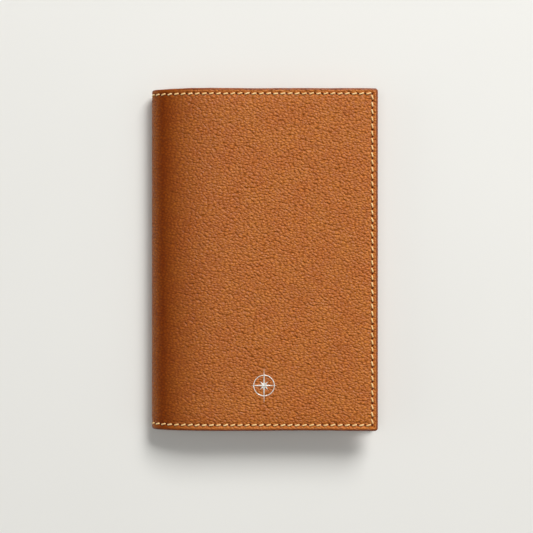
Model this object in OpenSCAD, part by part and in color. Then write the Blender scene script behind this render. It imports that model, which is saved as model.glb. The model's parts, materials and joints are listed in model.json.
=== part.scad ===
// Passport holder: a folded leather cover with a passport sleeve on each inner side and two card pockets.
// Millimetres. The closed holder lies on its back cover: spine at -X, head (top edge) at +Y, front cover up.
// All leather layers are stacked by depth, counted inwards from the outer face of the hide.

/* [Cover] */
// Width of the closed holder, from the spine to the fore edge
closed_w = 93; // [90:1:104]
// Height of the holder, from tail to head
cover_h = 140; // [136:1:150]
// Thickness of the closed holder
closed_t = 14; // [13.5:0.5:18]
// Radius of the two fore-edge corners, seen from above
corner_r = 1.2; // [0.5:0.1:4]

/* [Spine fold] */
// Height of the fold's widest point above the back cover's outer face
fold_z = 4.5; // [4:0.25:6]
// How far the fold's curve runs into the front cover
fold_front_run = 26; // [20:1:30]
// How far the fold's curve runs into the back cover
fold_back_run = 6; // [5:0.5:10]
// Gap left between two neighbouring segments at a fold line
fold_gap = 0.12; // [0.05:0.01:0.3]

/* [Layers] */
// Thickness of the outer hide
hide_t = 1.0; // [1:0.05:1.4]
// Thickness of the stiffening board between hide and lining
board_t = 0.4; // [0.2:0.1:0.6]
// Thickness of the lining
lining_t = 0.4; // [0.3:0.05:0.5]
// Free height inside a passport sleeve
sleeve_gap = 0.9; // [0.7:0.05:1]
// Thickness of a sleeve panel
sleeve_t = 0.6; // [0.5:0.05:0.7]
// Free height inside a card pocket
card_gap = 0.85; // [0.8:0.05:0.9]
// Thickness of a card pocket panel
card_t = 0.5; // [0.4:0.05:0.55]

/* [Pockets] */
// Sewn margin of the sleeves and pockets, measured from the edge
rim = 3.2; // [3:0.1:4]
// Mouth of the back cover's sleeve
back_mouth_x = -20; // [-30:1:-10]
// Mouth of the front cover's sleeve
front_mouth_x = -26; // [-28:1:-20]
// Mouth of the card pocket nearest the sleeve
inner_card_mouth_x = -14; // [-16:1:-12]
// Mouth of the card pocket on top of it
outer_card_mouth_x = -4; // [-8:1:-2]
// Height of the card pockets, up from the tail
card_pocket_h = 92; // [91:1:96]
// Radius of the thumb notch in a mouth
notch_r = 15; // [12:1:18]
// Depth of the thumb notch
notch_depth = 4.5; // [3:0.5:6]

/* [Stitching] */
// Distance of the seam from the edge
seam_inset = 2.3; // [2:0.1:2.6]
// Diameter of the thread
thread_d = 0.45; // [0.4:0.05:0.5]
// Slant of each stitch to the seam
stitch_slant = 12; // [0:1:15]
// Share of the pitch that a stitch covers on the surface
stitch_share = 0.74; // [0.6:0.02:0.8]
// Width of the pressed groove that the seam lies in
groove_w = 1.1; // [1:0.05:1.2]
// Depth of that groove
groove_d = 0.75; // [0.75:0.05:0.85]

/* [Emblem] */
// Radius of the emblem's ring
emblem_r = 4.2; // [3:0.1:6]
// Height of the emblem's centre above the tail
emblem_up = 18.5; // [14:0.5:30]
// Depth of the stamped foil
foil_t = 0.1; // [0.05:0.05:0.2]

/* [Hidden] */
$fn = 32;

hide_color = "#b06a34";
lining_color = "#b98450";
board_color = "#8a6a4c";
thread_color = "#e8c88c";
foil_color = "#d8d4cc";

tail_y = -cover_h / 2;
head_y = cover_h / 2;
fore_x = closed_w / 2;
seam_x = fore_x - seam_inset;
seam_y = head_y - seam_inset;
thread_depth = 0.3;
thread_clear = 0.03;
emblem_line = 0.35;
foil_clear = 0.01;
cut = 0.5;
fold_step = 6;
board_taper = 4;
back_board_x = -closed_w / 2 + fold_back_run + 4;
front_board_x = -closed_w / 2 + fold_front_run + 2;
card_top_y = tail_y + card_pocket_h;
rods_fn = 16;

lining_depth = hide_t + board_t;
sleeve_depth = lining_depth + lining_t;
inner_card_depth = sleeve_depth + sleeve_gap + sleeve_t;
outer_card_depth = inner_card_depth + card_gap + card_t;
card_face_depth = outer_card_depth + card_gap + card_t;

// ---- The outer face of the closed cover, seen along +Y ----
// turn is 0 on the back cover, 90 at the spine's widest point and 180 on the front cover.
function normal(turn) = [-sin(turn), -cos(turn)];
function fold_run(turn) = turn < 90 ? fold_back_run : fold_front_run;
function fold_rise(turn) = turn < 90 ? fold_z : closed_t - fold_z;
function fold_point(turn) =
    let (a = fold_run(turn), b = fold_rise(turn), n = normal(turn))
    [-closed_w / 2 + a, fold_z] + [a * a * n[0], b * b * n[1]] / norm([a * n[0], b * n[1]]);

// Arc length along the fold against turn, as [length, turn] pairs.
arc_step = 2;
arc_table = [
    for (turn = 0, s = 0; turn <= 180;
         s = s + norm(fold_point(min(turn + arc_step, 180)) - fold_point(turn)), turn = turn + arc_step)
    [s, turn]
];
turn_table = [for (pair = arc_table) [pair[1], pair[0]]];
fold_len = arc_table[len(arc_table) - 1][0];

// The seam coordinate s runs from the back cover's fore-edge seam, round the spine, to the front cover's.
back_flat = seam_x + closed_w / 2 - fold_back_run;
front_flat = seam_x + closed_w / 2 - fold_front_run;
seam_len = back_flat + fold_len + front_flat;
pitches = 64;
pitch = seam_len / pitches;
// Stitch counts at which the cover folds, so that no stitch crosses a fold line.
fold_counts = [30, 32, 34, 38];
fold_s = [for (n = fold_counts) n * pitch];
fore_stitches = 46;
fore_pitch = 2 * seam_y / fore_stitches;

function turn_at(s) =
    s <= back_flat ? 0 : s >= back_flat + fold_len ? 180 : lookup(s - back_flat, arc_table);
function face_at(s) =
    s <= back_flat ? [seam_x - s, 0]
    : s >= back_flat + fold_len ? [seam_x - seam_len + s, closed_t]
    : fold_point(turn_at(s));
function wall_at(s, depth) = face_at(s) - depth * normal(turn_at(s));

// Points of the face between two places on the seam, sunk to a depth.
function wall_path(s0, s1, depth) = concat(
    [wall_at(s0, depth)],
    [for (turn = [0 : fold_step : 180])
        let (s = back_flat + lookup(turn, turn_table))
        if (s > s0 + 0.05 && s < s1 - 0.05) fold_point(turn) - depth * normal(turn)],
    [wall_at(s1, depth)]
);
function reversed(list) = [for (i = [len(list) - 1 : -1 : 0]) list[i]];
function by_depth(path) = [for (p = path) [p[0], closed_t - p[1]]];

// ---- Shared shapes ----
module along_y(y0, y1) {
    translate([0, y1, 0]) rotate([90, 0, 0]) linear_extrude(y1 - y0) children();
}

module wall(s0, s1, depth0, depth1, y0 = tail_y, y1 = head_y) {
    along_y(y0, y1) polygon(concat(wall_path(s0, s1, depth0), reversed(wall_path(s0, s1, depth1))));
}

// Plan of a panel with its mouth at x0 and two rounded corners at the fore edge.
module plan(x0, y0, y1) {
    translate([x0, y0]) square([fore_x - corner_r - x0, y1 - y0]);
    translate([x0, y0 + corner_r]) square([fore_x - x0, y1 - y0 - 2 * corner_r]);
    for (y = [y0 + corner_r, y1 - corner_r])
        translate([fore_x - corner_r, y]) circle(corner_r);
}

module plan_block(x0, y0, y1, z0, z1) {
    translate([0, 0, z0]) linear_extrude(z1 - z0) plan(x0, y0, y1);
}

// Turns a shape given by depth into one on the front cover; on the back cover depth is z.
module on_front() {
    translate([0, 0, closed_t]) mirror([0, 0, 1]) children();
}

// Straight piece of thread between two points.
module thread(a, b) {
    d = b - a;
    translate(a)
        rotate([0, acos(d[2] / norm(d)), atan2(d[1], d[0])])
        cylinder(h = norm(d), d = thread_d, $fn = rods_fn);
}

// One stitch of a head or tail row, at a place on the seam and a depth.
module row_stitch(s, y, depth) {
    half = stitch_share * pitch / 2;
    rise = half * tan(stitch_slant);
    a = wall_at(s - half, depth);
    b = wall_at(s + half, depth);
    thread([a[0], y - rise, a[1]], [b[0], y + rise, b[1]]);
}

module row_stitches(count0, count1, depth) {
    for (y = [-seam_y, seam_y])
        for (i = [count0 : count1 - 1])
            row_stitch((i + 0.5) * pitch, y, depth);
}

// Stitches of one fore-edge column.
module column_stitches(y0, count, depth) {
    half = stitch_share * fore_pitch / 2;
    slip = half * tan(stitch_slant);
    for (i = [0 : count - 1]) {
        y = y0 + (i + 0.5) * fore_pitch;
        thread([seam_x + slip, y - half, depth], [seam_x - slip, y + half, depth]);
    }
}

module row_groove(s0, s1) {
    for (y = [-seam_y, seam_y])
        wall(s0, s1, -cut, groove_d, y - groove_w / 2, y + groove_w / 2);
}

// Groove down the fore edge, cut from the face at depth 0.
module column_groove(y0, y1) {
    translate([seam_x - groove_w / 2, y0 - groove_w / 2, -cut])
        cube([groove_w, y1 - y0 + groove_w, groove_d + cut]);
}

// ---- Hide and lining, one segment between two fold lines ----
// Segments 0 to 4 are the back cover, the three strips of the spine and the front cover.
function segment_start(i) = i == 0 ? -seam_inset : fold_s[i - 1] + fold_gap / 2;
function segment_end(i) = i == 4 ? seam_len + seam_inset : fold_s[i] - fold_gap / 2;

module hide_segment(i) {
    s0 = segment_start(i);
    s1 = segment_end(i);
    difference() {
        intersection() {
            wall(s0, s1, 0, hide_t);
            plan_block(-closed_w, tail_y, head_y, -1, closed_t + 1);
        }
        row_groove(max(s0, 0) - 1, min(s1, seam_len) + 1);
    }
}

module spine_lining(i) {
    wall(segment_start(i), segment_end(i), hide_t, hide_t + lining_t);
}

module spine_stitches(i) {
    row_stitches(fold_counts[i - 1], fold_counts[i], thread_depth);
    row_stitches(fold_counts[i - 1], fold_counts[i], proud(hide_t + lining_t));
}

// Depth of a thread sunk in a panel's groove, and of one that lies on a plain face.
function sunk(face_depth) = face_depth - thread_depth;
function proud(face_depth) = face_depth + thread_d / 2 + thread_clear;

// ---- Inner leather ----
// One face of a cover's lining, by depth: flat over the board, down its taper, then along the hide.
function lining_face(board_x, path, extra) = concat(
    [[fore_x, lining_depth + extra], [board_x + board_taper, lining_depth + extra],
     [board_x, hide_t + extra]],
    [for (p = path) if (p[0] < board_x - 1) p]
);

module cover_lining(board_x, outer_path, inner_path) {
    intersection() {
        along_y(tail_y, head_y) polygon(concat(
            lining_face(board_x, outer_path, 0),
            reversed(lining_face(board_x, inner_path, lining_t))
        ));
        plan_block(-closed_w, tail_y, head_y, -1, closed_t);
    }
}

module board(board_x) {
    intersection() {
        along_y(tail_y, head_y) polygon([
            [board_x, hide_t], [board_x + board_taper, lining_depth],
            [fore_x, lining_depth], [fore_x, hide_t]
        ]);
        plan_block(board_x, tail_y, head_y, 0, closed_t);
    }
}

// A panel over a free space, sewn down along three sides, with a thumb notch in its mouth.
module pocket(mouth_x, y0, y1, depth, gap, t) {
    face_depth = depth + gap + t;
    difference() {
        plan_block(mouth_x, y0, y1, depth, face_depth);
        translate([mouth_x - 1, y0 + rim, depth - 1])
            cube([fore_x - rim - mouth_x + 1, y1 - y0 - 2 * rim, gap + 1]);
        translate([mouth_x + notch_depth - notch_r, (y0 + y1) / 2, 0])
            cylinder(h = closed_t, r = notch_r, $fn = 64);
        pocket_groove(mouth_x, y0 + seam_inset, y1 - seam_inset, face_depth);
    }
}

// Groove for the seam round a pocket's three sewn sides, cut from its visible face.
module pocket_groove(mouth_x, y0, y1, face_depth) {
    translate([0, 0, face_depth]) mirror([0, 0, 1]) {
        column_groove(y0, y1);
        for (y = [y0, y1])
            translate([mouth_x - 1, y - groove_w / 2, -cut])
                cube([seam_x - mouth_x + 1, groove_w, groove_d + cut]);
    }
}

// ---- Back cover ----
module back_hide() {
    color(hide_color) difference() {
        hide_segment(0);
        column_groove(-seam_y, seam_y);
    }
}

module back_board() {
    color(board_color) board(back_board_x);
}

module back_lining() {
    s1 = segment_end(0);
    color(lining_color) cover_lining(
        back_board_x,
        wall_path(back_flat, s1, hide_t),
        wall_path(back_flat, s1, hide_t + lining_t)
    );
}

module back_sleeve() {
    color(hide_color) pocket(back_mouth_x, tail_y, head_y, sleeve_depth, sleeve_gap, sleeve_t);
}

module back_stitches() {
    color(thread_color) {
        row_stitches(0, fold_counts[0], thread_depth);
        column_stitches(-seam_y, fore_stitches, thread_depth);
    }
}

module back_inner_stitches() {
    sleeve_count = floor((seam_x - back_mouth_x) / pitch);
    board_count = floor((seam_x - back_board_x) / pitch);
    color(thread_color) {
        row_stitches(0, sleeve_count, sunk(inner_card_depth));
        row_stitches(sleeve_count + 1, board_count - 1, proud(sleeve_depth));
        row_stitches(board_count + 1, fold_counts[0], proud(hide_t + lining_t));
        column_stitches(-seam_y, fore_stitches, sunk(inner_card_depth));
    }
}

// ---- Spine ----
module spine_lower_hide() {
    color(hide_color) hide_segment(1);
}

module spine_lower_lining() {
    color(lining_color) spine_lining(1);
}

module spine_lower_stitches() {
    color(thread_color) spine_stitches(1);
}

module spine_middle_hide() {
    color(hide_color) hide_segment(2);
}

module spine_middle_lining() {
    color(lining_color) spine_lining(2);
}

module spine_middle_stitches() {
    color(thread_color) spine_stitches(2);
}

module spine_upper_hide() {
    color(hide_color) hide_segment(3);
}

module spine_upper_lining() {
    color(lining_color) spine_lining(3);
}

module spine_upper_stitches() {
    color(thread_color) spine_stitches(3);
}

// ---- Front cover ----
// A compass rose: eight points, longer towards head and tail, inside a thin ring.
function rose_point(i) =
    i % 2 == 1 ? 0.22 : i % 8 == 4 ? 1.75 : i % 8 == 0 ? 1.3 : 0.6;

module emblem_plan(grow) {
    difference() {
        circle(emblem_r + emblem_line / 2 + grow, $fn = 64);
        circle(emblem_r - emblem_line / 2 - grow, $fn = 64);
    }
    polygon([
        for (i = [0 : 15])
            (emblem_r * rose_point(i) + grow) * [cos(22.5 * i), sin(22.5 * i)]
    ]);
}

module emblem_solid(grow, z0) {
    translate([0, tail_y + emblem_up, z0]) linear_extrude(foil_t - z0) emblem_plan(grow);
}

module front_hide() {
    color(hide_color) difference() {
        hide_segment(4);
        on_front() {
            column_groove(-seam_y, seam_y);
            emblem_solid(foil_clear, -cut);
        }
    }
}

module front_emblem() {
    color(foil_color) on_front() emblem_solid(0, 0);
}

module front_board() {
    color(board_color) on_front() board(front_board_x);
}

module front_lining() {
    s0 = segment_start(4);
    s1 = seam_len - front_flat;
    color(lining_color) on_front() cover_lining(
        front_board_x,
        by_depth(reversed(wall_path(s0, s1, hide_t))),
        by_depth(reversed(wall_path(s0, s1, hide_t + lining_t)))
    );
}

module front_sleeve() {
    color(hide_color) on_front()
        pocket(front_mouth_x, tail_y, head_y, sleeve_depth, sleeve_gap, sleeve_t);
}

module inner_card_pocket() {
    color(hide_color) on_front()
        pocket(inner_card_mouth_x, tail_y, card_top_y, inner_card_depth, card_gap, card_t);
}

module outer_card_pocket() {
    color(hide_color) on_front()
        pocket(outer_card_mouth_x, tail_y, card_top_y, outer_card_depth, card_gap, card_t);
}

module front_stitches() {
    color(thread_color) {
        row_stitches(fold_counts[3], pitches, thread_depth);
        on_front() column_stitches(-seam_y, fore_stitches, thread_depth);
    }
}

// Inner row stitches of the front cover between two mouths, at one depth.
module front_row(y, x0, x1, depth) {
    first = ceil((seam_len - seam_x + x0) / pitch);
    last = floor((seam_len - seam_x + x1) / pitch);
    for (i = [first : last - 1])
        row_stitch((i + 0.5) * pitch, y, depth);
}

module front_inner_stitches() {
    fold_x = face_at(fold_s[3])[0];
    card_count = floor(card_pocket_h / fore_pitch) - 1;
    color(thread_color) {
        for (y = [-seam_y, seam_y])
            front_row(y, fold_x, front_mouth_x, proud(hide_t + lining_t));
        front_row(seam_y, front_mouth_x, seam_x, sunk(inner_card_depth));
        front_row(-seam_y, front_mouth_x, inner_card_mouth_x, sunk(inner_card_depth));
        front_row(-seam_y, inner_card_mouth_x, outer_card_mouth_x, sunk(outer_card_depth));
        front_row(-seam_y, outer_card_mouth_x, seam_x, sunk(card_face_depth));
        on_front() {
            column_stitches(-seam_y, card_count, sunk(card_face_depth));
            column_stitches(-seam_y + (card_count + 1) * fore_pitch,
                            fore_stitches - card_count - 1, sunk(inner_card_depth));
        }
    }
}

// The row that closes the card pockets towards the head, stepping down at the outer pocket's mouth.
module card_pocket_stitches() {
    y = card_top_y - seam_inset;
    half = stitch_share * pitch / 2;
    slip = half * tan(stitch_slant);
    color(thread_color) on_front()
        for (i = [0 : floor((seam_x - inner_card_mouth_x) / pitch) - 1]) {
            x = seam_x - (i + 0.5) * pitch;
            depth = sunk(x > outer_card_mouth_x ? card_face_depth : outer_card_depth);
            if (abs(x - outer_card_mouth_x) > half + thread_d)
                thread([x - half, y - slip, depth], [x + half, y + slip, depth]);
        }
}

back_hide();
back_board();
back_lining();
back_sleeve();
back_stitches();
back_inner_stitches();
spine_lower_hide();
spine_lower_lining();
spine_lower_stitches();
spine_middle_hide();
spine_middle_lining();
spine_middle_stitches();
spine_upper_hide();
spine_upper_lining();
spine_upper_stitches();
front_hide();
front_board();
front_lining();
front_sleeve();
inner_card_pocket();
outer_card_pocket();
front_stitches();
front_inner_stitches();
card_pocket_stitches();
front_emblem();
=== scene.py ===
import json
import math

import bpy
import numpy as np
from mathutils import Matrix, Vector


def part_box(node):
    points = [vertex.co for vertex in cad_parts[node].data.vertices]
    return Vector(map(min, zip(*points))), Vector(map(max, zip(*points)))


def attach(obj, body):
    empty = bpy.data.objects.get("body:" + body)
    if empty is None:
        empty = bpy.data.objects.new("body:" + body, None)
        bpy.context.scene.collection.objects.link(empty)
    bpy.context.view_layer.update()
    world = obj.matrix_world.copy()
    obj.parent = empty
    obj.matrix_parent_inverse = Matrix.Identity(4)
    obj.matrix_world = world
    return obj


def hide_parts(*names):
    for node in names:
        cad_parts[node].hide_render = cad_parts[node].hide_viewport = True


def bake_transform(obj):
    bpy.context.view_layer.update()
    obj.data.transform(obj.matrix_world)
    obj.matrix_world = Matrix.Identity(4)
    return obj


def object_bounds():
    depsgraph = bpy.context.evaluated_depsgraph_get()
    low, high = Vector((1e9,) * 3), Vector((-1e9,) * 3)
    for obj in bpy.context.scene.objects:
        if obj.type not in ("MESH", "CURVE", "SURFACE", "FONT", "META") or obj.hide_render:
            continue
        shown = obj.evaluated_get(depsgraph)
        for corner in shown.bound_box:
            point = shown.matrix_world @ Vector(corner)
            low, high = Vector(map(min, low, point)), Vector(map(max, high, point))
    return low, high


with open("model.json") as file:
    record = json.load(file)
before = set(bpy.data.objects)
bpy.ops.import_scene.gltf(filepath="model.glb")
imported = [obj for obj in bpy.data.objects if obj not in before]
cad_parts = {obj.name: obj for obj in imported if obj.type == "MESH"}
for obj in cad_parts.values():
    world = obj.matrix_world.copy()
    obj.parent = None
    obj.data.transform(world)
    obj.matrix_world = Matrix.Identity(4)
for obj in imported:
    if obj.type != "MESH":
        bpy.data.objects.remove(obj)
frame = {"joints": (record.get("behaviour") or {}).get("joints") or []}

# The looks of a closed leather passport holder. Lengths are in millimetres until a mesh is made.
#
# Every leather layer is placed by three numbers: s, the way along the cover's outer face from the back
# fore edge, round the spine, to the front fore edge; y, from tail to head; and depth, counted inwards
# from the outer face.
MM = 0.001
CAD_LOW, CAD_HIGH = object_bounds()

# ---------------------------------------------------------------- sizes
# The closed cover: its spine is a quarter ellipse from each cover to a line at height FOLD_Z.
WIDTH, HEIGHT, THICK = (CAD_HIGH - CAD_LOW) / MM
FORE_X = WIDTH / 2
HEAD_Y = HEIGHT / 2
FOLD_Z = 4.5
BACK_RUN = 6.0
FRONT_RUN = 26.0
CORNER_R = 1.2

# The layers, from the outside inwards, and the room inside the sleeves and pockets.
HIDE_T = 1.0
BOARD_T = 0.4
LINING_T = 0.4
SLEEVE_T = 0.6
SLEEVE_GAP = 0.9
CARD_T = 0.5
CARD_GAP = 0.85
BOARD_TAPER = 4.0
BOARD_GLUED_IN = 0.04
TOUCH = 0.01
SEWN_MARGIN = 3.0
POCKET_RISE = 6.0
NOTCH_R = 15.0
NOTCH_DEPTH = 4.5

# The edges: rounded, painted, and sewn all round at the same distance.
SHOULDER_R = 0.62
INNER_SHOULDER_R = 0.22
PAINT_WIDTH = 0.8
PAINT_BLUR = 0.16
SEAM_INSET = 2.3
PITCHES = 64
FORE_STITCHES = 46
THREAD_R = 0.34
STITCH_LENGTH = 1.9
STITCH_SLANT = math.radians(15)
STITCH_PROUD = 0.1
STITCH_DIP = 0.62
OUTER_SINK = 0.26
BACK_SINK = 0.12
PLY_TURN = 2.4

# Relief of the hide beside its seam, and of its grain.
CHANNEL_DEPTH = 0.09
CHANNEL_SLOPE = 0.05
CREASE_INSET = 1.65
CREASE_DEPTH = 0.1
RIM_INSET = 1.2
RIM_RISE = 0.09
SEAM_PULL = 0.34
CLOSE_PULL = 0.16
WIDE_PULL = 0.18
HOLE_DEPTH = 0.3
HOLE_R = 0.5
HOLE_LEAN = 0.3
MOUTH_CREASE_DEPTH = 0.09
GRAIN_TURN = math.radians(-14)
GRAIN_HEIGHT = 0.17
GRAIN_LEVEL = 0.75
SMOOTH_FRONT_RUN = 20.0
SMOOTH_BACK_RUN = 9.0

# How far the leather strays from its drawn shape: its face, its broad swellings and its trimmed edge.
COVER_SWAY = 0.15
SWELL = 0.05
SMALL_SWELL = 0.03
EDGE_STRAY = 0.11
SMALL_EDGE_STRAY = 0.04

# Where the painted shade on the hide is darkest beside the spine, and how far it reaches on each cover.
DARKEST_X = 5.0
DARK_RISE = 4.0
DARK_FRONT_REACH = 12.5
DARK_BACK_REACH = 8.0

EMBLEM_R = 4.2
EMBLEM_LINE = 0.35
EMBLEM_Y = -HEAD_Y + 18.5
STAMP_DEPTH = 0.05

# The layers that go round the spine are cut between stitches, which are counted from the back fore edge.
BODIES = ["back", "spine_lower", "spine_middle", "spine_upper", "front"]
ALL_EDGES = ("start", "end", "tail", "head")
CUT_COUNTS = [31, 33, 36]
PANEL_COUNT = 49
COARSE, FINE = 7, 10

# The camera looks straight down from CAMERA_UP above the front cover.
CAMERA_UP = 590.0
VIEW_WIDTH = 217.5
VIEW_X = 1.0
VIEW_Y = -2.9
FLOOR_Z = -0.25
FLOOR_REACH = 6000.0


def low_x(node):
    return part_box(node)[0].x / MM


BACK_BOARD_X = low_x("back_board")
FRONT_BOARD_X = low_x("front_board")
BACK_MOUTH_X = low_x("back_sleeve")
FRONT_MOUTH_X = low_x("front_sleeve")
INNER_CARD_X = low_x("inner_card_pocket")
OUTER_CARD_X = low_x("outer_card_pocket")
CARD_TOP_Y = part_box("outer_card_pocket")[1].y / MM


# ---------------------------------------------------------------- noise
def hashed(ix, iy, seed):
    """A repeatable number from 0 to 1 for each lattice cell."""
    h = (ix.astype(np.int64) * 374761393 + iy.astype(np.int64) * 668265263 + seed * 974634777) & 0xFFFFFFFF
    h = ((h ^ (h >> 13)) * 1274126177) & 0xFFFFFFFF
    h = ((h ^ (h >> 16)) * 2246822519) & 0xFFFFFFFF
    return ((h ^ (h >> 15)) & 0xFFFFFF) / 0xFFFFFF


def smooth(t):
    t = np.clip(t, 0, 1)
    return t * t * (3 - 2 * t)


def hill(x, width):
    return np.exp(-(x / width) ** 2)


def noise(x, y, seed):
    """Smooth noise from -1 to 1 with one feature per unit, in a pattern that seed picks."""
    x, y = np.broadcast_arrays(x, y)
    ix, iy = np.floor(x), np.floor(y)
    wx, wy = smooth(x - ix), smooth(y - iy)
    low = hashed(ix, iy, seed) * (1 - wx) + hashed(ix + 1, iy, seed) * wx
    high = hashed(ix, iy + 1, seed) * (1 - wx) + hashed(ix + 1, iy + 1, seed) * wx
    return 2 * (low * (1 - wy) + high * wy) - 1


def cell_edge(x, y, seed):
    """How much farther the second nearest of one random point per unit cell is than the nearest."""
    ix, iy = np.floor(x), np.floor(y)
    first = np.full(x.shape, 9.0)
    second = np.full(x.shape, 9.0)
    for i in (-1, 0, 1):
        for j in (-1, 0, 1):
            px = ix + i + 0.1 + 0.8 * hashed(ix + i, iy + j, seed)
            py = iy + j + 0.1 + 0.8 * hashed(ix + i, iy + j, seed + 1)
            d = np.hypot(px - x, py - y)
            second = np.minimum(second, np.maximum(first, d))
            first = np.minimum(first, d)
    return second - first


# ---------------------------------------------------------------- the outer face
def fold_face(turn):
    """Point of the fold, where turn is 0 on the back cover and pi on the front."""
    nx, nz = -np.sin(turn), -np.cos(turn)
    run = np.where(turn < math.pi / 2, BACK_RUN, FRONT_RUN)
    rise = np.where(turn < math.pi / 2, FOLD_Z, THICK - FOLD_Z)
    reach = np.hypot(run * nx, rise * nz)
    return -FORE_X + run + run * run * nx / reach, FOLD_Z + rise * rise * nz / reach


TURNS = np.linspace(0, math.pi, 1441)
FOLD_XS, FOLD_ZS = fold_face(TURNS)
FOLD_SS = np.concatenate([[0], np.cumsum(np.hypot(np.diff(FOLD_XS), np.diff(FOLD_ZS)))])
BACK_FLAT = WIDTH - BACK_RUN
FRONT_FLAT = WIDTH - FRONT_RUN
LENGTH = BACK_FLAT + FOLD_SS[-1] + FRONT_FLAT
PITCH = (LENGTH - 2 * SEAM_INSET) / PITCHES
FORE_PITCH = (HEIGHT - 2 * SEAM_INSET) / FORE_STITCHES
SPINE_S = BACK_FLAT + float(np.interp(math.pi / 2, TURNS, FOLD_SS))


def face(s):
    """x, z and outward normal of the outer face at s."""
    turn = np.interp(s - BACK_FLAT, FOLD_SS, TURNS)
    x = np.interp(s - BACK_FLAT, FOLD_SS, FOLD_XS)
    z = np.interp(s - BACK_FLAT, FOLD_SS, FOLD_ZS)
    x = np.where(s < BACK_FLAT, FORE_X - s, np.where(s > LENGTH - FRONT_FLAT, FORE_X - LENGTH + s, x))
    return x, z, -np.sin(turn), -np.cos(turn)


def s_back(x):
    return FORE_X - x


def s_front(x):
    """s of a place on the front cover, also where it has begun to curve down to the spine."""
    s = np.linspace(SPINE_S, LENGTH, 4001)
    return float(np.interp(x, face(s)[0], s))


def s_hinge(joint):
    """s of a hinge's axis, which lies on the outer face."""
    s = np.linspace(BACK_FLAT - 5, LENGTH - FRONT_FLAT, 8001)
    x, z, _, _ = face(s)
    axis_x, _, axis_z = (v / MM for v in joint["pos_m"])
    return float(s[np.argmin(np.hypot(x - axis_x, z - axis_z))])


CUTS = [SEAM_INSET + n * PITCH for n in CUT_COUNTS]
HINGES = [s_hinge(joint) for joint in frame["joints"]]
BOARD_END = {"back": s_back(BACK_BOARD_X), "front": s_front(FRONT_BOARD_X)}
MOUTH = {"back": s_back(BACK_MOUTH_X), "front": s_front(FRONT_MOUTH_X)}
CARD_MOUTHS = [s_front(INNER_CARD_X), s_front(OUTER_CARD_X)]


def sway(s, y):
    """How far the front cover stands off its plane, as leather does."""
    return COVER_SWAY * noise(s / 37 + 5, y / 43, 41) * smooth((s - SPINE_S) / 30)


def at(s, y, depth):
    """Places in the row frame, in millimetres."""
    s, y, depth = np.broadcast_arrays(s, y, depth)
    x, z, nx, nz = face(s)
    out = sway(s, y) - depth
    return np.stack([x + out * nx, y, z + out * nz], -1)


# ---------------------------------------------------------------- outlines
def wander(s, y):
    """How far the trimmed edge strays outwards at head and tail."""
    end = np.sign(y)
    return EDGE_STRAY * noise(s / 13, 7.3 * end, 31) + SMALL_EDGE_STRAY * noise(s / 4.1, 3.1 * end, 32)


def notch(across):
    """Depth of a thumb notch in a mouth, with soft corners."""
    v = NOTCH_DEPTH - NOTCH_R + np.sqrt(np.maximum(NOTCH_R**2 - across**2, 0))
    return (v + np.hypot(v, 0.5)) / 2 - 0.06 * (v < 0)


class Sheet:
    """The outline of a layer on the outer face, from s0 to s1 and y0 to y1.

    edges names its real edges among start, end, tail and head. Any other side is a cut, where the next
    piece of the same layer goes on. mouth is the edge that has a thumb notch."""

    def __init__(self, s0, s1, edges, y0=-HEAD_Y, y1=HEAD_Y, mouth=None):
        self.s0, self.s1, self.y0, self.y1 = s0, s1, y0, y1
        self.edges, self.mouth = edges, mouth

    def spread(self, s, y, grow=0.0):
        """Real s and y of a nominal place, and its distance from the nearest real edge."""
        far = np.full(np.shape(s), 1e3)
        start = s - self.s0 if "start" in self.edges else far
        end = self.s1 - s if "end" in self.edges else far
        tail = y - self.y0 if "tail" in self.edges else far
        head = self.y1 - y if "head" in self.edges else far
        ds, dy = np.minimum(start, end), np.minimum(tail, head)
        a, b = np.clip(1 - ds / CORNER_R, 0, 1), np.clip(1 - dy / CORNER_R, 0, 1)
        a_out, b_out = a * np.sqrt(1 - b * b / 2), b * np.sqrt(1 - a * a / 2)
        inset = np.where((a > 0) & (b > 0), CORNER_R * (1 - np.hypot(a_out, b_out)), np.minimum(ds, dy))
        s_out = s + np.where(start < end, -1, 1) * (CORNER_R * (a_out - a) + grow * a_out)
        y_out = y + np.where(tail < head, -1, 1) * (CORNER_R * (b_out - b) + grow * b_out)
        share = (s - self.s0) / (self.s1 - self.s0)
        across = y - (self.y0 + self.y1) / 2
        if self.mouth == "start":
            s_out = s_out + notch(across) * (1 - share)
        if self.mouth == "end":
            s_out = s_out - notch(across) * share
        y_out = y_out + np.sign(y) * wander(s, y) * smooth(1 - (HEAD_Y - np.abs(y)) / 14)
        return s_out, y_out, inset

    def lines(self, s_step, y_step, near):
        """Grid lines along s and y, in step with the stitches, and closer beside a real edge."""
        s = grid_lines(self.s0, self.s1, SEAM_INSET, s_step, near, "start" in self.edges, "end" in self.edges)
        y = grid_lines(self.y0, self.y1, SEAM_INSET - HEAD_Y, y_step, near, True, True)
        return s, y


def grid_lines(low, high, origin, step, near, low_edge, high_edge):
    first = low + near if low_edge else np.array([low])
    last = high - near[::-1] if high_edge else np.array([high])
    k = np.arange(np.ceil((first[-1] + step / 2 - origin) / step), (last[0] - step / 2 - origin) / step)
    return np.concatenate([first, origin + step * k, last])


def near_edge(radius, fine, band):
    """Distances from an edge of the lines that draw its rounding and the band beside it."""
    turn = np.linspace(0, math.pi / 2, 6)[:-1]
    return np.concatenate([radius * (1 - np.cos(turn)), np.arange(radius, band, fine)])


def rounding(inset, radius):
    """Drop of a face towards its rounded edge."""
    return radius - np.sqrt(radius**2 - np.clip(radius - inset, 0, radius) ** 2)


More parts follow.
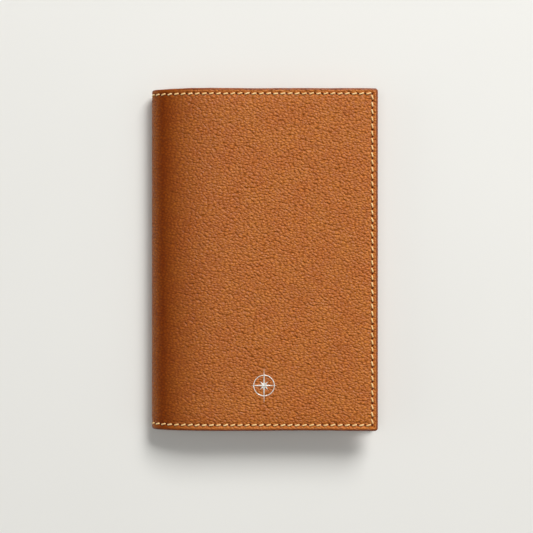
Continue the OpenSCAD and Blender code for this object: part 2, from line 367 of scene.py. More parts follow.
# ---------------------------------------------------------------- relief
def grain(s, y):
    """Pebbled grain from 0 in the creases to 1 on the pebbles, drawn out across the cover."""
    along = s * math.cos(GRAIN_TURN) + y * math.sin(GRAIN_TURN) + noise(s / 4.3, y / 4.3, 5)
    across = -s * math.sin(GRAIN_TURN) + y * math.cos(GRAIN_TURN) + 0.8 * noise(s / 3.9, y / 3.9, 7)
    pebble = cell_edge(along / 1.7, across / 1.15, 11)
    small = cell_edge(along / 1.25 + 3.3, across / 0.9, 21)
    return np.clip(0.75 * smooth(1.3 * pebble) + 0.45 * smooth(1.3 * small), 0, 1)


def spine_share(s):
    """1 where the leather is pulled smooth round the spine, 0 on the flat covers."""
    from_spine = face(s)[0] + FORE_X
    reach = np.where(s > SPINE_S, SMOOTH_FRONT_RUN, SMOOTH_BACK_RUN)
    return smooth((reach - from_spine) / (0.85 * reach))


def rubbed(s):
    """1 where shade is painted on the leather beside the spine, fading across the covers."""
    from_spine = face(s)[0] + FORE_X
    past = from_spine - DARKEST_X
    front = np.where(past > 0, np.exp(-past / DARK_FRONT_REACH), hill(past, DARK_RISE))
    return np.where(s > SPINE_S, front, 0.4 * np.exp(-from_spine / DARK_BACK_REACH))


def emblem_share(s, y):
    """1 where the stamping die has pressed the front cover."""
    r = np.hypot(s - LENGTH + FORE_X, y - EMBLEM_Y)
    return smooth((EMBLEM_R * 1.7 - r) / 1.6)


def edge_distance(s, y):
    return np.minimum(np.minimum(s, LENGTH - s), HEAD_Y - np.abs(y))


def holes_along(way, pitch, beside, slant):
    """Needle holes one pitch apart: slots that lean by slant, at the distance beside from their row."""
    from_hole = (way + pitch / 2) % pitch - pitch / 2
    return hill(from_hole + slant * beside, HOLE_R) * hill(beside - 0.05, 1.1 * HOLE_R)


def row_holes(s, beside):
    """Holes along head or tail, which slant against the stitches."""
    return holes_along(s - SEAM_INSET, PITCH, beside, HOLE_LEAN)


def column_holes(y, beside):
    """Holes along a fore edge."""
    return holes_along(y + HEAD_Y - SEAM_INSET, FORE_PITCH, beside, -HOLE_LEAN)


def needle_holes(s, y):
    rows = np.maximum(row_holes(s, y - HEAD_Y + SEAM_INSET), row_holes(s, y + HEAD_Y - SEAM_INSET))
    side = np.minimum(s, LENGTH - s) - SEAM_INSET
    return np.maximum(rows, column_holes(y, -side))


def seam_relief(edge):
    """Stitch channel, pressed crease line and the rounded rim outside it."""
    channel = -CHANNEL_DEPTH * hill(edge - SEAM_INSET, 0.5) - CHANNEL_SLOPE * hill(edge - SEAM_INSET, 1.3)
    return channel - CREASE_DEPTH * hill(edge - CREASE_INSET, 0.2) + RIM_RISE * hill(edge - RIM_INSET, 0.45)


def seam_pull(edge):
    """How far the thread draws the hide down: it slopes to the seam, and the rim outside stays low."""
    past = edge - SEAM_INSET
    inside = CLOSE_PULL * hill(past, 1.2) + WIDE_PULL * hill(past, 2.6)
    outside = SEAM_PULL * (0.8 + 0.2 * hill(past, 0.7)) + 0.1 * smooth((1.5 - edge) / 1.5)
    return np.where(past > 0, inside, outside)


def pull_share(s):
    """The pull is weaker round the spine, where the leather is stretched along the seam."""
    return 1 - 0.7 * spine_share(s)


def hide_relief(s, y):
    edge = edge_distance(s, y)
    pebbles, holes, stamped = grain(s, y), needle_holes(s, y), emblem_share(s, y)
    pebbles = GRAIN_LEVEL + (pebbles - GRAIN_LEVEL) * (0.25 + 0.75 * smooth((edge - 2.0) / 1.6))
    amount = GRAIN_HEIGHT * (1 - 0.75 * spine_share(s)) * (1 - 0.7 * stamped)
    swell = SWELL * noise(s / 9.5, y / 10.5, 15) + SMALL_SWELL * noise(s / 4.2, y / 4.6, 16)
    height = amount * (pebbles - GRAIN_LEVEL) + swell * smooth((edge - 2.5) / 6) * smooth((s - SPINE_S) / 20)
    height = height + seam_relief(edge) - seam_pull(edge) * pull_share(s)
    height = height - HOLE_DEPTH * holes - STAMP_DEPTH * stamped
    return height, {"grain": pebbles, "hole": holes}


def lining_relief(s, y):
    edge, holes = edge_distance(s, y), needle_holes(s, y)
    fine = noise(s / 1.4, y / 1.1, 51)
    height = 0.012 * fine + 0.02 * noise(s / 8, y / 7, 52) + inner_seam(edge, holes)
    return height, {"grain": 0.5 + 0.5 * fine, "hole": holes}


def inner_seam(edge, holes):
    """Relief of a seam in the thinner leather of the inside."""
    return 0.6 * seam_relief(edge) - HOLE_DEPTH * holes


def board_relief(s, y):
    return 0 * s, {"grain": 0 * s, "hole": 0 * s}


def pocket_relief(mouth_s, card_row):
    """Relief of a sleeve or pocket: the outer seam, a crease beside its mouth, and a row at its top."""

    def relief(s, y):
        height, marks = lining_relief(s, y)
        height = height - MOUTH_CREASE_DEPTH * hill(np.abs(s - mouth_s) - CREASE_INSET, 0.22)
        if card_row:
            from_top = CARD_TOP_Y - y
            holes = row_holes(s, SEAM_INSET - from_top)
            height = height + inner_seam(from_top, holes)
            marks = {**marks, "hole": np.maximum(marks["hole"], holes)}
        return height, marks

    return relief


# ---------------------------------------------------------------- depths of the inner layers
def open_share(from_seam):
    """0 where a pocket is sewn down, 1 where it stands open."""
    return smooth((from_seam - SEWN_MARGIN) / POCKET_RISE)


def board_depth(s, y):
    from_end = np.where(s < SPINE_S, BOARD_END["back"] - s, s - BOARD_END["front"])
    return HIDE_T + BOARD_T * smooth(from_end / BOARD_TAPER)


def lining_depth(s, y):
    return board_depth(s, y) + LINING_T


def sleeve_depth(s, y):
    return lining_depth(s, y) + SLEEVE_T + SLEEVE_GAP * open_share(edge_distance(s, y))


def card_opening(s, y):
    return open_share(np.minimum(edge_distance(s, y), CARD_TOP_Y - y))


def inner_card_depth(s, y):
    return sleeve_depth(s, y) + CARD_T + CARD_GAP * card_opening(s, y)


def outer_card_depth(s, y):
    return inner_card_depth(s, y) + CARD_T + CARD_GAP * card_opening(s, y)


def innermost_depth(s, y):
    """Depth of the innermost leather at a place on the seam."""
    cover = "back" if s < SPINE_S else "front"
    past = MOUTH[cover] - s if cover == "back" else s - MOUTH[cover]
    if past < 0:
        return float(lining_depth(s, y))
    layers = [sleeve_depth, inner_card_depth, outer_card_depth]
    count = sum(s > mouth for mouth in CARD_MOUTHS) if y < CARD_TOP_Y and cover == "front" else 0
    return float(layers[count](s, y))


# ---------------------------------------------------------------- meshes
def make_mesh(name, points, faces, marks, wanted_normals=None, smooth_faces=True):
    """A piece with a point attribute for each of marks. A wanted normal of zero leaves that normal alone."""
    mesh = bpy.data.meshes.new(name)
    mesh.from_pydata((points * MM).tolist(), [], faces)
    mesh.polygons.foreach_set("use_smooth", np.full(len(mesh.polygons), smooth_faces))
    for key, value in marks.items():
        kind, field = ("FLOAT_VECTOR", "vector") if value.ndim > 1 else ("FLOAT", "value")
        mesh.attributes.new(key, kind, "POINT").data.foreach_set(field, value.astype(np.float32).ravel())
    mesh.update()
    if wanted_normals is not None:
        mesh.normals_split_custom_set_from_vertices(wanted_normals.tolist())
    piece = bpy.data.objects.new(name, mesh)
    bpy.context.scene.collection.objects.link(piece)
    return piece


def border(ns, ny):
    """Grid places round the border of a grid, in order."""
    i, j = np.arange(ns), np.arange(ny)
    rows = np.concatenate([i, np.full(ny - 1, ns - 1), i[-2::-1], np.zeros(ny - 2, int)])
    cols = np.concatenate([np.zeros(ns, int), j[1:], np.full(ns - 1, ny - 1), j[-2:0:-1]])
    return rows, cols


def grid_faces(index):
    corners = [index[:-1, :-1], index[1:, :-1], index[1:, 1:], index[:-1, 1:]]
    return np.stack(corners, -1).reshape(-1, 4).tolist()


def ring_faces(a, b):
    return np.stack([b, np.roll(b, -1), np.roll(a, -1), a], -1).tolist()


def strip_faces(ring, ns, ny):
    """A plain back: strips from tail to head between the vertices of the border."""
    near, end = ring[:ns], ring[ns - 1:ns + ny - 1]
    far = ring[ns + ny - 2:2 * ns + ny - 2][::-1]
    start = np.concatenate([ring[2 * ns + ny - 3:], ring[:1]])[::-1]
    faces = [[near[i], far[i], far[i + 1], near[i + 1]] for i in range(1, ns - 2)]
    faces.append([*start, far[1], near[1]])
    faces.append([near[-2], far[-2], *end[::-1]])
    return [[int(v) for v in f] for f in faces]


def layer(name, sheet, lines, shown, hidden, relief, outward=False, shoulder=INNER_SHOULDER_R, bulge=0.05,
          even_back=False):
    """A closed leather layer. shown and hidden give the depths of its two faces; the shown face looks
    away from the passport if outward is true. bulge is how far its cut edge swells out. even_back gives
    the hidden face a grid of its own."""
    toward = -1 if outward else 1

    def shown_face(s, y):
        s_out, y_out, inset = sheet.spread(s, y)
        height, marks = relief(s, y)
        depth = shown(s, y) + toward * (height - rounding(inset, shoulder))
        marks["paint"] = smooth((PAINT_WIDTH + PAINT_BLUR / 2 - inset) / PAINT_BLUR)
        # The mask of the shade painted beside the spine.
        marks["rubbed"] = rubbed(s)
        return at(s_out, y_out, depth), depth, marks

    s, y = np.meshgrid(*lines, indexing="ij")
    ns, ny = s.shape
    top, top_depth, marks = shown_face(s, y)
    rows, cols = border(ns, ny)
    index = np.arange(ns * ny).reshape(ns, ny)
    rings = [index[rows, cols]]
    points, skin = [top.reshape(-1, 3)], [np.stack([s, y, top_depth], -1).reshape(-1, 3)]
    sb, yb, count = s[rows, cols], y[rows, cols], ns * ny
    hidden_ring = hidden(sb, yb)
    for share in (0.3, 0.7):
        s_out, y_out, _ = sheet.spread(sb, yb, grow=bulge)
        depth = top_depth[rows, cols] * (1 - share) + hidden_ring * share
        points.append(at(s_out, y_out, depth))
        skin.append(np.stack([sb, yb, depth], -1))
        rings.append(count + np.arange(len(rows)))
        count += len(rows)
    if even_back:
        depth = hidden(s, y)
        back = count + index
        points.append(at(*sheet.spread(s, y)[:2], depth).reshape(-1, 3))
        skin.append(np.stack([s, y, depth], -1).reshape(-1, 3))
        rings.append(back[rows, cols])
        back_faces = [f[::-1] for f in grid_faces(back)]
    else:
        points.append(at(*sheet.spread(sb, yb)[:2], hidden_ring))
        skin.append(np.stack([sb, yb, hidden_ring], -1))
        rings.append(count + np.arange(len(rows)))
        back_faces = strip_faces(rings[-1], ns, ny)
    faces = grid_faces(index) + back_faces
    for a, b in zip(rings, rings[1:]):
        faces += ring_faces(a, b)
    if not outward:
        faces = [f[::-1] for f in faces]
    points = np.concatenate(points)
    rest = len(points) - ns * ny
    edge_marks = {"grain": 0.8, "hole": 0.0, "paint": 1.0, "rubbed": 0.0}
    after = {key: np.full(rest, value) for key, value in edge_marks.items()}
    if even_back:
        after["paint"][-ns * ny:] = marks["paint"].ravel()
    marks = {key: np.concatenate([marks[key].ravel(), value]) for key, value in after.items()}
    marks["skin"] = np.concatenate(skin)
    wanted = np.zeros((len(points), 3))
    for cut, normals in cut_normals(sheet, lines, shown_face, top, toward):
        wanted[index[cut]] = normals
    return make_mesh(name, points, faces, marks, wanted)


def cut_normals(sheet, lines, shown_face, top, toward):
    """Normals at each cut as if the layer went on, so that no line shows there."""
    for side, cut in (("start", 0), ("end", -1)):
        if side in sheet.edges:
            continue
        s = np.full(len(lines[1]), lines[0][cut])
        along = shown_face(s + 0.3, lines[1])[0] - shown_face(s - 0.3, lines[1])[0]
        n = np.cross(along, np.gradient(top[cut], axis=0))
        yield cut, -toward * n / np.linalg.norm(n, axis=1)[:, None]


# ---------------------------------------------------------------- thread
def row_places(first, last, y):
    """Centres and directions of the stitches of a row between two counts."""
    s = SEAM_INSET + (np.arange(first, last) + 0.5) * PITCH
    return [(a, y, STITCH_SLANT) for a in s]


def column_places(s, first, last):
    y = SEAM_INSET - HEAD_Y + (np.arange(first, last) + 0.5) * FORE_PITCH
    return [(s, b, math.pi / 2 + STITCH_SLANT) for b in y]


def near_mouth(place, mouths):
    """True for a stitch that would climb over the edge of a pocket's mouth."""
    return any(abs(place[0] - m) < STITCH_LENGTH / 2 + 0.3 for m in mouths)


def thread(name, places, base, outward):
    """Twisted stitches of three plies on a face at depth base, dipping into the holes at both ends."""
    around, rings, count = 15, 15, len(places)
    rng = np.random.default_rng(count)
    middles = (np.array(values)[:, None] for values in zip(*places))
    s0, y0, turn = (v + rng.normal(0, stray, (count, 1)) for v, stray in zip(middles, (0.02, 0.03, 0.04)))
    half = STITCH_LENGTH / 2 * (1 + rng.normal(0, 0.02, (count, 1)))
    u = np.sin(np.linspace(-math.pi / 2, math.pi / 2, rings))[None, :]
    lift = STITCH_PROUD - (STITCH_PROUD + STITCH_DIP) * np.abs(u) ** 6
    depth = np.array(base)[:, None] + (-lift if outward else lift)
    s, y = s0 + half * u * np.cos(turn), y0 + half * u * np.sin(turn)
    centre = at(s, y, depth)
    normal = at(s, y, depth - 1) - centre
    tangent = np.gradient(centre, axis=1)
    tangent /= np.linalg.norm(tangent, axis=-1, keepdims=True)
    side = np.cross(tangent, normal)
    side /= np.linalg.norm(side, axis=-1, keepdims=True)
    normal = np.cross(side, tangent)
    phi = np.linspace(0, 2 * math.pi, around, endpoint=False)
    twist = 2 * math.pi * u * half / PLY_TURN + rng.uniform(0, 6, (count, 1))
    ply = 0.8 + 0.2 * np.abs(np.cos(1.5 * (phi - twist[..., None])))
    r = (THREAD_R * (1 - 0.3 * np.abs(u) ** 8))[..., None] * ply
    points = centre[:, :, None] + r[..., None] * (
        np.cos(phi)[:, None] * side[:, :, None] + 0.85 * np.sin(phi)[:, None] * normal[:, :, None])
    index = np.arange(count * rings * around).reshape(count, rings, around)
    a, b = index[:, :-1], index[:, 1:]
    faces = np.stack([a, np.roll(a, -1, 2), np.roll(b, -1, 2), b], -1).reshape(-1, 4).tolist()
    faces += index[:, 0, ::-1].tolist() + index[:, -1].tolist()
    shape = (count, rings, around)
    skin = [np.broadcast_to((u * half)[..., None], shape), np.broadcast_to(phi - twist[..., None], shape)]
    tone = np.broadcast_to(rng.uniform(0, 1, (count, 1, 1)), shape)
    marks = {"skin": np.stack([*skin, tone * 40], -1).reshape(-1, 3), "tone": tone.ravel()}
    marks["end"] = np.broadcast_to((np.abs(u) ** 5)[..., None], shape).ravel()
    return make_mesh(name, points.reshape(-1, 3), faces, marks)


# ---------------------------------------------------------------- emblem
def rose_reach(i):
    """Reach of a corner of the compass rose: long to head and tail, then to the sides, then between."""
    if i % 2:
        return 0.22
    return {0: 1.3, 4: 1.75}.get(i % 8, 0.6)


def emblem_place(x, y, height):
    """Places on the stamped leather, counted from the emblem's middle."""
    s = LENGTH - FORE_X + x
    relief = hide_relief(s, y + EMBLEM_Y)[0]
    return at(s, y + EMBLEM_Y, -relief - height)


def rose_mesh():
    """The rose as shallow facets that rise to its middle, closed underneath."""
    corners = np.array([(math.cos(math.pi * i / 8), math.sin(math.pi * i / 8)) for i in range(16)])
    corners *= EMBLEM_R * np.array([[rose_reach(i)] for i in range(16)])
    split = np.linspace(0, 1, 7)[:-1, None]
    rim = np.concatenate([a * (1 - split) + b * split for a, b in zip(corners, np.roll(corners, -1, 0))])
    n = len(rim)
    steps = np.linspace(1, 0, 9)[:-1]
    x, y = (np.concatenate([*(way * t for t in steps), [0], way]) for way in rim.T)
    edge, tip_rise, below = 0.03, 0.19, -0.08
    slope = [np.full(n, edge + (tip_rise - edge) * (1 - t)) for t in steps]
    rise = np.concatenate([*slope, [tip_rise], np.full(n, below)])
    rings = [np.arange(n) + k * n for k in range(len(steps))]
    tip, low = n * len(steps), n * len(steps) + 1 + np.arange(n)
    faces = [f for a, b in zip(rings, rings[1:]) for f in ring_faces(b, a)]
    faces += [[int(rings[-1][k]), int(rings[-1][(k + 1) % n]), tip] for k in range(n)]
    faces += ring_faces(rings[0], low) + [low[::-1].tolist()]
    return emblem_place(x, y, rise), faces


def ring_mesh():
    """The ring round the rose: a line with bevelled edges."""
    n = 120
    turn = np.linspace(0, 2 * math.pi, n, endpoint=False)
    half, foot, side, top = EMBLEM_LINE / 2, -0.06, 0.02, 0.05
    profile = [(-half, foot), (-half, side), (-half / 2, top), (half / 2, top), (half, side), (half, foot)]
    points = []
    for r, height in profile:
        points.append(emblem_place((EMBLEM_R + r) * np.cos(turn), (EMBLEM_R + r) * np.sin(turn), height))
    rings = [np.arange(n) + k * n for k in range(len(profile))]
    faces = [f for a, b in zip(rings, rings[1:] + rings[:1]) for f in ring_faces(a, b)]
    return np.concatenate(points), faces


def emblem():
    rose, faces = rose_mesh()
    ring, faces_of_ring = ring_mesh()
    faces += [[v + len(rose) for v in f] for f in faces_of_ring]
    points = np.concatenate([rose, ring])
    return make_mesh("emblem_foil", points, faces, {"skin": points}, smooth_faces=False)


# ---------------------------------------------------------------- materials
def colour(r, g, b):
    """Linear colour of an sRGB one given in steps of 1/255."""
    return tuple(((v / 255 + 0.055) / 1.055) ** 2.4 for v in (r, g, b)) + (1.0,)


class Shader:
    """A material with short calls for its nodes. A socket's value is a number, a colour or another socket."""

    def __init__(self, name):
        self.material = bpy.data.materials.new(name)
        self.material.use_nodes = True
        self.tree = self.material.node_tree
        self.surface = self.tree.nodes["Principled BSDF"]

    def add(self, kind, settings=None, out=0, **sockets):
        """An output of a new node. A socket goes by its name, or by i and its number."""
        node = self.tree.nodes.new("ShaderNode" + kind)
        for key, value in (settings or {}).items():
            setattr(node, key, value)
        for key, value in sockets.items():
            self.connect(node, int(key[1:]) if key[1:].isdigit() else key.replace("_", " "), value)
        return node.outputs[out]

    def connect(self, node, socket, value):
        if isinstance(value, bpy.types.NodeSocket):
            self.tree.links.new(value, node.inputs[socket])
        else:
            node.inputs[socket].default_value = value

    def finish(self, **sockets):
        for key, value in sockets.items():
            self.connect(self.surface, key.replace("_", " "), value)
        return self.material

    def mark(self, name, out="Fac"):
        return self.add("Attribute", {"attribute_name": name}, out)

    def math(self, operation, a, b):
        return self.add("Math", {"operation": operation}, i0=a, i1=b)

    def mix(self, share, a, b, blend="MIX"):
        return self.add("MixRGB", {"blend_type": blend}, i0=share, i1=a, i2=b)

    def squeeze(self, vector, scale):
        return self.add("Mapping", i0=vector, i3=scale)

    def draw_out(self, vector, factor, turn):
        """Coordinates in which a texture is longer by factor along a line at turn."""
        settings = {"vector_type": "TEXTURE"}
        return self.add("Mapping", settings, i0=vector, i2=(0.0, 0.0, turn), i3=(factor, 1.0, 1.0))

    def noise(self, vector, scale, detail=3.0, roughness=0.5, out=0):
        return self.add("TexNoise", out=out, Vector=vector, Scale=scale, Detail=detail, Roughness=roughness)

    def cells(self, vector, scale, smoothness=0.3):
        settings = {"feature": "SMOOTH_F1", "voronoi_dimensions": "2D"}
        return self.add("TexVoronoi", settings, Vector=vector, Scale=scale, Smoothness=smoothness)

    def span(self, value, low, high, to_low=0.0, to_high=1.0):
        settings = {"interpolation_type": "SMOOTHSTEP"}
        return self.add("MapRange", settings, i0=value, i1=low, i2=high, i3=to_low, i4=to_high)

    def bump(self, height, distance):
        """Bump in which a height of 1 stands out by distance, in millimetres."""
        return self.add("Bump", Height=height, Distance=distance * MM)


def leather_material(name, top, crease, paint, crease_share, relief, roughness, spine_shade_strength):
    """Leather with a painted edge and painted shade: darker in its creases, dark in its holes, and darker
    beside the spine, where it also reflects less.
    """
    m = Shader(name)
    skin, pebbles = m.mark("skin", "Vector"), m.mark("grain")
    painted, hole, spine_shade_and_smoothing = m.mark("paint"), m.mark("hole"), m.mark("rubbed")
    bent = m.add("VectorMath", {"operation": "ADD"}, i0=skin, i1=m.noise(skin, 0.5, 1.0, out=1))
    fine = m.cells(m.draw_out(bent, 1.4, GRAIN_TURN), 1.22)
    pores = m.noise(skin, 4.5, 2.0)
    # Painted shade: the creases of the pebbles and of the finer cells take the darker crease colour.
    in_crease = m.span(pebbles, 0.15, 0.85, crease_share, 0.0)
    in_fine = m.span(fine, 0.35, 0.75, 0.0, 0.6 * crease_share)
    tint = m.mix(m.math("MAXIMUM", in_crease, in_fine), top, crease)
    cloud = m.span(m.noise(skin, 0.11, 3.0), 0.3, 0.7, 0.0, 0.2)
    tint = m.mix(cloud, tint, crease, "SOFT_LIGHT")
    tint = m.mix(m.span(pores, 0.35, 0.75, 0.0, 0.22), tint, crease)
    # Painted shade beside the spine: the colour is multiplied darker there.
    tint = m.mix(m.math("MULTIPLY", spine_shade_and_smoothing, spine_shade_strength), tint, colour(173, 139, 44), "MULTIPLY")
    tint = m.mix(painted, tint, m.mix(m.span(m.noise(skin, 0.9), 0.3, 0.7), paint, crease))
    # Painted shade: the needle holes are painted dark brown.
    tint = m.mix(m.span(hole, 0.2, 0.75), tint, colour(92, 36, 8))
    gloss = m.span(m.noise(skin, 0.35, 4.0), 0.3, 0.7, roughness - 0.05, roughness + 0.07)
    gloss = m.math("SUBTRACT", gloss, m.math("MULTIPLY", painted, 0.12))
    # Less reflection under the painted shade beside the spine, and in the holes.
    shine = m.span(m.math("MAXIMUM", spine_shade_and_smoothing, hole), 0.0, 1.0, 0.35, 0.1)
    height = m.math("SUBTRACT", m.math("MULTIPLY", pores, 0.1), m.math("POWER", fine, 2.0))
    # The fine bump is flattened on the painted edge and beside the spine, where the leather is pulled smooth.
    plain = m.math("SUBTRACT", 1.0, m.math("MAXIMUM", painted, m.math("MULTIPLY", spine_shade_and_smoothing, 0.75)))
    normal = m.bump(m.math("MULTIPLY", height, plain), relief)
    return m.finish(Base_Color=tint, Roughness=gloss, Specular_IOR_Level=shine, Normal=normal)


def tan_leather():
    return leather_material(
        "tan_leather", top=colour(199, 118, 39), crease=colour(146, 73, 15), paint=colour(112, 54, 26),
        crease_share=0.65, relief=0.53, roughness=0.5, spine_shade_strength=1.0)


def smooth_leather():
    return leather_material(
        "smooth_leather", top=colour(190, 126, 76), crease=colour(150, 90, 46), paint=colour(96, 46, 20),
        crease_share=0.3, relief=0.06, roughness=0.46, spine_shade_strength=0.3)


def board_material():
    m = Shader("board")
    skin = m.mark("skin", "Vector")
    fibres = m.noise(m.squeeze(skin, (1.0, 6.0, 6.0)), 1.2, 4.0, 0.7)
    tint = m.mix(m.span(fibres, 0.3, 0.7), colour(126, 96, 66), colour(92, 66, 44))
    tint = m.mix(m.mark("paint"), tint, colour(96, 52, 30))
    return m.finish(Base_Color=tint, Roughness=0.8, Normal=m.bump(fibres, 0.05))


def thread_material():
    """Waxed linen: plies with fine fibres along them, each stitch a little different."""
    m = Shader("thread")
    skin, tone, end = m.mark("skin", "Vector"), m.mark("tone"), m.mark("end")
    fibres = m.noise(m.squeeze(skin, (1.2, 5.0, 1.0)), 3.0, 3.0, 0.6)
    tint = m.mix(tone, colour(252, 218, 156), colour(244, 200, 132))
    tint = m.mix(m.span(fibres, 0.35, 0.7, 0.0, 0.45), tint, colour(176, 124, 66))
    # Painted shade where each stitch dips into its hole.
    tint = m.mix(m.span(end, 0.3, 0.95, 0.0, 0.9), tint, colour(110, 56, 16))
    return m.finish(
        Base_Color=tint, Roughness=0.55, Sheen_Weight=0.3, Sheen_Roughness=0.4, Normal=m.bump(fibres, 0.04))


def foil_material():
    """Silver-white foil, slightly cloudy where it was pressed on to the grain."""
    m = Shader("foil")
    skin = m.mark("skin", "Vector")
    cloud = m.noise(skin, 1.4, 4.0, 0.6)
    tint = m.mix(m.span(cloud, 0.4, 0.75), colour(232, 230, 224), colour(196, 184, 168))
    return m.finish(
        Base_Color=tint, Metallic=0.55, Roughness=m.span(cloud, 0.3, 0.7, 0.3, 0.5),
        Normal=m.bump(m.noise(skin, 5.0), 0.02))


def floor_material():
    m = Shader("floor")
    place = m.add("TexCoord", out="Object")
    tint = m.mix(m.noise(place, 9.0, 2.0), colour(231, 230, 225), colour(227, 226, 221))
    return m.finish(Base_Color=tint, Roughness=0.9, Specular_IOR_Level=0.2)


# ---------------------------------------------------------------- pieces
def bend(piece, hinge, depth):
    """Bakes a piece's place into its mesh. The reach round one hinge, and its ends at depth, are worked out
    but not used: the piece doesn't bend.
    """
    reach = min(abs(cut - HINGES[hinge]) for cut in CUTS[max(hinge - 1, 0):hinge + 1])
    start, end = (Vector(at(HINGES[hinge] + d, 0.0, depth)) * MM for d in (-reach, reach))
    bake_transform(piece)


def dress(piece, material, slot, *nodes):
    piece.data.materials.append(material)
    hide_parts(*nodes)
    return piece


def wrap_sheets():
    """The four outlines into which a layer that goes round the spine is cut."""
    ends = [0.0, *CUTS, LENGTH]
    for i in range(4):
        edges = ("tail", "head") + (("start",) if i == 0 else ()) + (("end",) if i == 3 else ())
        yield i, Sheet(ends[i], ends[i + 1], edges)


def hide_layer(name, sheet, fineness, material, *nodes):
    """A piece of the hide with fineness grid lines to a stitch."""
    lines = sheet.lines(PITCH / fineness, FORE_PITCH / fineness, near_edge(SHOULDER_R, fine=0.18, band=3.4))
    piece = layer(
        name, sheet, lines, lambda s, y: 0 * s, lambda s, y: 0 * s + HIDE_T, hide_relief,
        outward=True, shoulder=SHOULDER_R, bulge=0.0)
    return dress(piece, material, "cover_leather", *nodes)


def make_hide(material):
    """The bent pieces of the hide and the flat rest of the front; the back's grid is the coarser one."""
    panel_s = SEAM_INSET + PANEL_COUNT * PITCH
    for i, sheet in wrap_sheets():
        if i == 3:
            sheet = Sheet(sheet.s0, panel_s, ("tail", "head"))
        piece = hide_layer(
            f"hide_{BODIES[i]}_to_{BODIES[i + 1]}", sheet, COARSE if i == 0 else FINE, material,
            f"{BODIES[i]}_hide", f"{BODIES[i + 1]}_hide")
        bend(piece, i, HIDE_T)
    panel = Sheet(panel_s, LENGTH, ("tail", "head", "end"))
    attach(hide_layer("hide_front_panel", panel, FINE, material, "front_hide"), "front")


def make_lining(material):
    """The lining's four pieces, whose cuts lie over the hide's."""
    near = near_edge(INNER_SHOULDER_R, fine=0.25, band=4.0)
    for i, sheet in wrap_sheets():
        lines = sheet.lines(PITCH / 6, FORE_PITCH / 3, near)
        piece = layer(
            f"lining_{BODIES[i]}_to_{BODIES[i + 1]}", sheet, lines, lining_depth,
            lambda s, y: board_depth(s, y) + TOUCH, lining_relief)
        dress(piece, material, "lining_leather", f"{BODIES[i]}_lining", f"{BODIES[i + 1]}_lining")
        bend(piece, i, HIDE_T + LINING_T)


def make_boards(material):
    """The boards, glued a little way into the hide so that no gap shows between them."""
    near = near_edge(radius=0.05, fine=0.4, band=3.0)
    for cover, ends in (("back", (0.0, BOARD_END["back"])), ("front", (BOARD_END["front"], LENGTH))):
        sheet = Sheet(*ends, ALL_EDGES)
        lines = sheet.lines(PITCH / 2, FORE_PITCH / 2, near)
        piece = layer(
            f"stiffener_{cover}", sheet, lines, board_depth, lambda s, y: 0 * s + HIDE_T - BOARD_GLUED_IN,
            board_relief, shoulder=0.02, bulge=0.03)
        dress(piece, material, "board", f"{cover}_board")
        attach(piece, cover)


def make_sleeves(material):
    back = Sheet(0.0, MOUTH["back"], ALL_EDGES, mouth="end")
    front = Sheet(MOUTH["front"], LENGTH, ALL_EDGES, mouth="start")
    for cover, sheet in (("back", back), ("front", front)):
        piece = pocket(f"sleeve_{cover}", sheet, MOUTH[cover], sleeve_depth, SLEEVE_T, False)
        dress(piece, material, "lining_leather", f"{cover}_sleeve")
        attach(piece, cover)


def make_card_pockets(material):
    for node, mouth, depth in zip(
            ("inner_card_pocket", "outer_card_pocket"), CARD_MOUTHS, (inner_card_depth, outer_card_depth)):
        sheet = Sheet(mouth, LENGTH, ALL_EDGES, y1=CARD_TOP_Y, mouth="start")
        piece = pocket(f"{node}_panel", sheet, mouth, depth, CARD_T, True)
        dress(piece, material, "lining_leather", node)
        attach(piece, "front")


def pocket(name, sheet, mouth, shown, thick, card_row):
    """A leather panel that stands open between its seams; card_row adds the row that closes its top."""
    lines = sheet.lines(PITCH / 3, FORE_PITCH / 3, near_edge(INNER_SHOULDER_R, fine=0.25, band=4.0))
    return layer(
        name, sheet, lines, shown, lambda s, y: shown(s, y) - thick + TOUCH,
        pocket_relief(mouth, card_row), even_back=True)


def outer_base(s):
    """How deep the outer stitches lie: they are drawn in with the hide, and more so underneath."""
    return OUTER_SINK * float(pull_share(s)) + (0.0 if s > SPINE_S else BACK_SINK)


def make_thread(material):
    """Both sides of the perimeter seam, cut into the same four pieces as the hide."""
    counts = [0, *CUT_COUNTS, PITCHES]
    columns = {0: SEAM_INSET, 3: LENGTH - SEAM_INSET}
    inner_nodes = {0: ["back_inner_stitches"], 3: ["front_inner_stitches"]}
    seam_y = HEAD_Y - SEAM_INSET
    for i in range(4):
        bodies = f"{BODIES[i]}_to_{BODIES[i + 1]}"
        nodes = [f"{BODIES[i]}_stitches", f"{BODIES[i + 1]}_stitches"]
        outer = row_places(counts[i], counts[i + 1], -seam_y) + row_places(counts[i], counts[i + 1], seam_y)
        if i in columns:
            outer += column_places(columns[i], 0, FORE_STITCHES)
        piece = thread(f"outer_thread_{bodies}", outer, [outer_base(s) for s, _, _ in outer], True)
        dress(piece, material, "thread", *nodes)
        bend(piece, i, 0.6)
        inner = [p for p in outer if not near_mouth(p, mouths_at(p[1]))]
        piece = thread(f"inner_thread_{bodies}", inner, [innermost_depth(s, y) for s, y, _ in inner], False)
        dress(piece, material, "thread", *(inner_nodes.get(i, nodes)))
        bend(piece, i, HIDE_T + LINING_T + 0.3)


def mouths_at(y):
    """The mouths that the inner seam crosses at y."""
    return [*MOUTH.values(), *(CARD_MOUTHS if y < CARD_TOP_Y else [])]


def make_card_thread(material):
    """The row that closes the card pockets at their top, on whichever pocket is innermost."""
    y = CARD_TOP_Y - SEAM_INSET
    first = math.ceil((CARD_MOUTHS[0] - SEAM_INSET) / PITCH)
    places = [p for p in row_places(first, PITCHES, y) if not near_mouth(p, CARD_MOUTHS)]
    layers = [outer_card_depth if s > CARD_MOUTHS[1] else inner_card_depth for s, _, _ in places]
    base = [float(depth(s, y)) for depth, (s, _, _) in zip(layers, places)]
    piece = thread("card_pocket_thread", places, base, False)
    dress(piece, material, "thread", "card_pocket_stitches")
    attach(piece, "front")


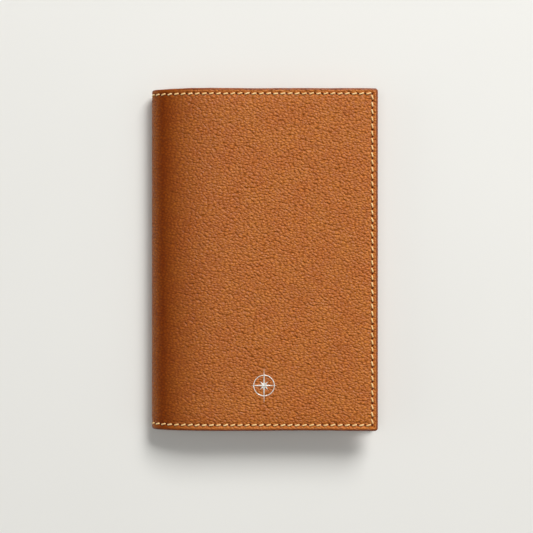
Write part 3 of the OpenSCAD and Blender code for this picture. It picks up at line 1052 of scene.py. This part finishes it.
def make_floor():
    ends = (-FLOOR_REACH, FLOOR_REACH)
    points = np.array([(x, y, FLOOR_Z) for x in ends for y in ends])
    floor = make_mesh("floor", points, [[0, 2, 3, 1]], {"skin": points})
    floor.data.materials.append(floor_material())


# ---------------------------------------------------------------- light and camera
def softbox(name, azimuth, elevation, distance, size, power):
    """A square light aimed at the origin: azimuth in degrees from +X, lengths in metres, power in watts."""
    light = bpy.data.lights.new(name, "AREA")
    light.shape, light.size, light.energy = "SQUARE", size, power
    az, el = math.radians(azimuth), math.radians(elevation)
    way = Vector((math.cos(el) * math.cos(az), math.cos(el) * math.sin(az), math.sin(el)))
    lamp = bpy.data.objects.new(name, light)
    lamp.location = way * distance
    lamp.rotation_euler = lamp.location.to_track_quat("Z", "Y").to_euler()
    bpy.context.scene.collection.objects.link(lamp)


def make_world(strength):
    world = bpy.data.worlds.new("studio")
    world.use_nodes = True
    background = world.node_tree.nodes["Background"]
    background.inputs["Color"].default_value = (1.0, 0.99, 0.97, 1.0)
    background.inputs["Strength"].default_value = strength
    bpy.context.scene.world = world


def make_camera():
    """A camera that sees VIEW_WIDTH across at the height of the front cover."""
    camera = bpy.data.cameras.new("camera")
    camera.lens = camera.sensor_width * CAMERA_UP / VIEW_WIDTH
    camera.clip_start = 0.01
    rig = bpy.data.objects.new("camera", camera)
    rig.location = (VIEW_X * MM, VIEW_Y * MM, (THICK + CAMERA_UP) * MM)
    bpy.context.scene.collection.objects.link(rig)
    bpy.context.scene.camera = rig


make_camera()
make_world(strength=0.13)
softbox("key", azimuth=63, elevation=39, distance=2.2, size=1.0, power=53.5)
softbox("left_fill", azimuth=185, elevation=20, distance=2.0, size=1.6, power=5)
softbox("side_fill", azimuth=0, elevation=28, distance=2.0, size=1.8, power=7)
softbox("overhead", azimuth=190, elevation=83, distance=1.6, size=0.6, power=4.6)
bpy.context.scene.view_settings.view_transform = "Standard"
make_floor()

make_hide(tan_leather())
inner_leather = smooth_leather()
make_lining(inner_leather)
make_boards(board_material())
make_sleeves(inner_leather)
make_card_pockets(inner_leather)
waxed_thread = thread_material()
make_thread(waxed_thread)
make_card_thread(waxed_thread)
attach(dress(emblem(), foil_material(), "foil", "front_emblem"), "front")
